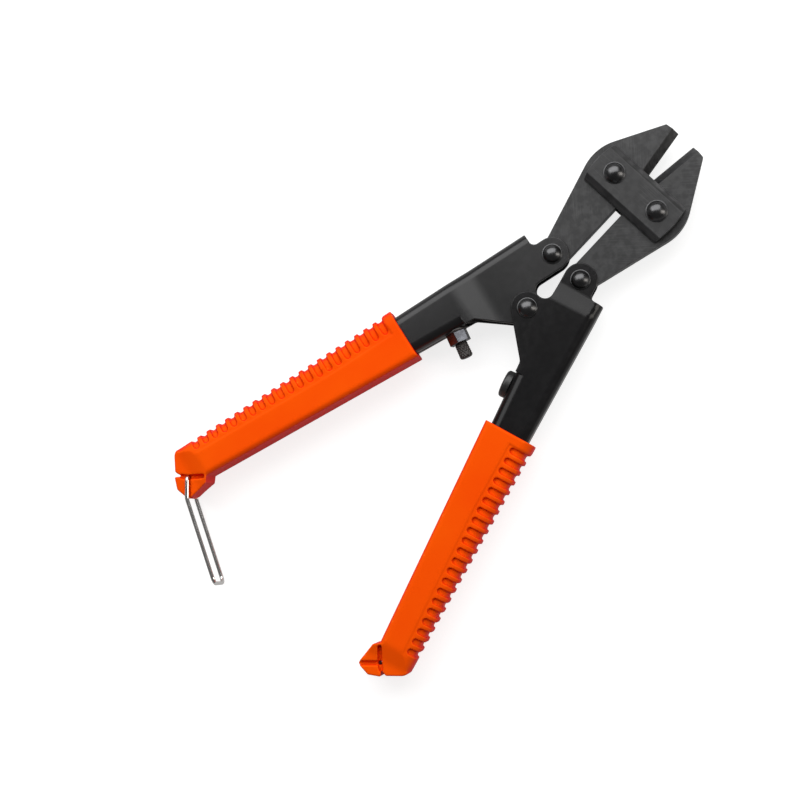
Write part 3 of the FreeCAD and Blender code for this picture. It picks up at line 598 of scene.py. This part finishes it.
def screw_rings(start, axis, length, head_radius, thread_radius):
    """Rings round the screw's axis. Radius of the thread: its outside less a triangle wave of
    height / pitch - angle / turn. Radius of the head: its outside less the knurl's depth times the
    product of two crossed triangle waves, with a rounded end."""
    across = np.array(Vector(axis).orthogonal().normalized())
    beside = np.cross(axis, across)
    angle = np.linspace(0, 2 * np.pi, SCREW_STEPS, endpoint=False)[None, :]
    head_start = length - KNURL_LENGTH
    thread_z = np.linspace(0, head_start - 0.3 * MM, 120)[:, None]
    thread = thread_radius - THREAD_DEPTH * zigzag(thread_z / THREAD_PITCH - angle / (2 * np.pi))
    head_t = np.linspace(0, 1, 90)[:, None]
    head_z = head_start + head_t * KNURL_LENGTH
    outside = head_radius * (0.95 + 0.05 * head_t)
    turns = KNURL_TEETH * angle / (2 * np.pi)
    crossed = np.maximum(zigzag(turns + KNURL_LEAN * 2 * head_t), zigzag(turns - KNURL_LEAN * 2 * head_t))
    fade = np.clip(np.minimum(head_t, 1 - head_t) / 0.08, 0, 1)
    head = outside - KNURL_DEPTH * crossed * fade - KNURL_DEPTH * (1 - fade)
    edge = 0.75 * MM
    over = np.clip((head_z - (length - edge)) / edge, 0, 1)
    head = head - edge * (1 - np.sqrt(1 - over ** 2 * 0.995))
    radius = np.vstack([thread, head])
    height = np.vstack([thread_z, head_z])
    spoke = np.cos(angle)[..., None] * across + np.sin(angle)[..., None] * beside
    return start + height[..., None] * axis + radius[..., None] * spoke


screw_start, screw_axis, screw_length = long_axis("stop_screw")
screw = closed_grid("knurled_stop_screw",
                    screw_rings(screw_start, screw_axis, screw_length, KNURL_RADIUS, THREAD_RADIUS),
                    screw_start, screw_start + screw_axis * screw_length)
# Painted highlight (0.14), at full amount, on the knurl's and thread's convex edges, and painted shade
# (0.004) in their hollows.
screw_black = finish("blackened_screw_steel", (0.018, 0.014, 0.013, 1), (0.03, 0.024, 0.022, 1),
                     (0.14, 0.13, 0.13, 1), (0.004, 0.003, 0.003, 1), rough=0.36, metallic=0.3,
                     edge_highlight_amount=1.0, mottle_scale=400)
placed(screw, screw_black, "left_handle", "screw_black", "stop_screw")
washer = eased_copy("stop_washer", "flat_stop_washer", 0.1 * MM, segments=2)
placed(washer, screw_black, "left_handle", "screw_black", "stop_washer")
refinish("stop_insert", screw_black)

# Painted highlight (0.3) on the nut's convex edges and painted shade (0.02) in its hollows.
nut_steel = finish("nut_steel", (0.13, 0.135, 0.15, 1), (0.09, 0.09, 0.1, 1), (0.3, 0.3, 0.32, 1),
                   (0.02, 0.018, 0.018, 1), rough=0.27, metallic=1.0, mottle_scale=300)
nut = eased_copy("lock_nut", "hexagon_lock_nut", 0.16 * MM)
placed(nut, nut_steel, "left_handle", "nut_steel", "lock_nut")

# Painted highlight (0.06) on the button's convex edges and painted shade (0.003) in its hollows.
button_rubber = finish("black_stop_button", (0.012, 0.012, 0.0125, 1), (0.02, 0.02, 0.02, 1),
                       (0.06, 0.06, 0.06, 1), (0.003, 0.003, 0.003, 1), rough=0.4,
                       edge_highlight_amount=0.5, mottle_scale=250, bump=0.01 * MM, grain_scale=3000)
refinish("stop_button", button_rubber)

# ---- wire bail -----------------------------------------------------------------------------------
# A bent loop of bright nickel-plated wire, sprung into the left grip's tail. It swings over the
# right grip to hold the tool shut.
# Painted shade (0.3) in the wire's hollows; its edge colour is close to its own.
bail_nickel = finish("bright_nickel_wire", (0.82, 0.8, 0.78, 1), (0.72, 0.7, 0.68, 1),
                     (0.8, 0.78, 0.76, 1), (0.3, 0.3, 0.3, 1), rough=0.16, rough_spread=0.06,
                     metallic=1.0, mottle_scale=300, bump=0.002 * MM)
refinish("wire_bail", bail_nickel)

# ---- studio --------------------------------------------------------------------------------------
# The tool lies on a plain pale table under one large soft light and a low strip on the right.
FLOOR_DROP = 0.3 * MM
FLOOR_HALF = 1.6

floor_mesh = bpy.data.meshes.new("pale_table")
corners = [(-FLOOR_HALF, -FLOOR_HALF), (FLOOR_HALF, -FLOOR_HALF), (FLOOR_HALF, FLOOR_HALF),
           (-FLOOR_HALF, FLOOR_HALF)]
floor_mesh.from_pydata([(x, y, -FLOOR_DROP) for x, y in corners], [], [(0, 1, 2, 3)])
floor = bpy.data.objects.new("pale_table", floor_mesh)
bpy.context.scene.collection.objects.link(floor)
floor_paint = bpy.data.materials.new("pale_table")
floor_paint.use_nodes = True
floor_shader = floor_paint.node_tree.nodes["Principled BSDF"]
floor_tree = floor_paint.node_tree
seen = add(floor_tree, "LightPath").outputs["Is Camera Ray"]
glow = mixed(floor_tree, seen, (0.2, 0.2, 0.2, 1), (0.8, 0.8, 0.8, 1))
floor_tree.links.new(glow, floor_shader.inputs["Emission Color"])
floor_shader.inputs["Base Color"].default_value = (0.35, 0.35, 0.35, 1)
floor_shader.inputs["Roughness"].default_value = 0.9
floor_shader.inputs["Emission Strength"].default_value = 1.0
floor_mesh.materials.append(floor_paint)

aim = Vector(pivot) + Vector((-53.1, 11.2, 0)) * MM


def softbox(name, azimuth, elevation, distance, width, height, power, tint=(1, 1, 1)):
    """Rectangular light that looks at the tool from this bearing and height, in degrees."""
    lamp = bpy.data.lights.new(name, "AREA")
    lamp.shape = "RECTANGLE"
    lamp.size = width
    lamp.size_y = height
    lamp.energy = power
    lamp.color = tint
    bearing, rise = math.radians(azimuth), math.radians(elevation)
    away = Vector((math.cos(bearing) * math.cos(rise), math.sin(bearing) * math.cos(rise),
                   math.sin(rise)))
    holder = bpy.data.objects.new(name, lamp)
    holder.location = aim + away * distance
    holder.rotation_euler = away.to_track_quat("Z", "Y").to_euler()
    bpy.context.scene.collection.objects.link(holder)


softbox("key_softbox", 56, 50, 0.8, 1.5, 0.8, 11.5)
softbox("right_strip", -47, 22, 0.8, 0.26, 0.6, 1.9, (1, 0.95, 0.88))

world = bpy.data.worlds.new("studio_walls")
world.use_nodes = True
world.node_tree.nodes["Background"].inputs["Color"].default_value = (1, 1, 1, 1)
world.node_tree.nodes["Background"].inputs["Strength"].default_value = 0.12
bpy.context.scene.world = world
bpy.context.scene.view_settings.view_transform = "Standard"

# camera: nearly straight down on the tool, turned so that it lies on a diagonal
eye = Vector(pivot) + Vector((-27.0, -81.0, 690.3)) * MM
up = Vector((0.731, 0.680, 0.063))
lens_data = bpy.data.cameras.new("camera")
lens_data.sensor_width = 36
lens_data.lens = 90.4
lens_data.clip_start = 0.05
camera = bpy.data.objects.new("camera", lens_data)
back = (eye - aim).normalized()
right = up.cross(back).normalized()
true_up = back.cross(right)
camera.matrix_world = Matrix.Translation(eye) @ Matrix((right, true_up, back)).transposed().to_4x4()
bpy.context.scene.collection.objects.link(camera)
bpy.context.scene.camera = camera
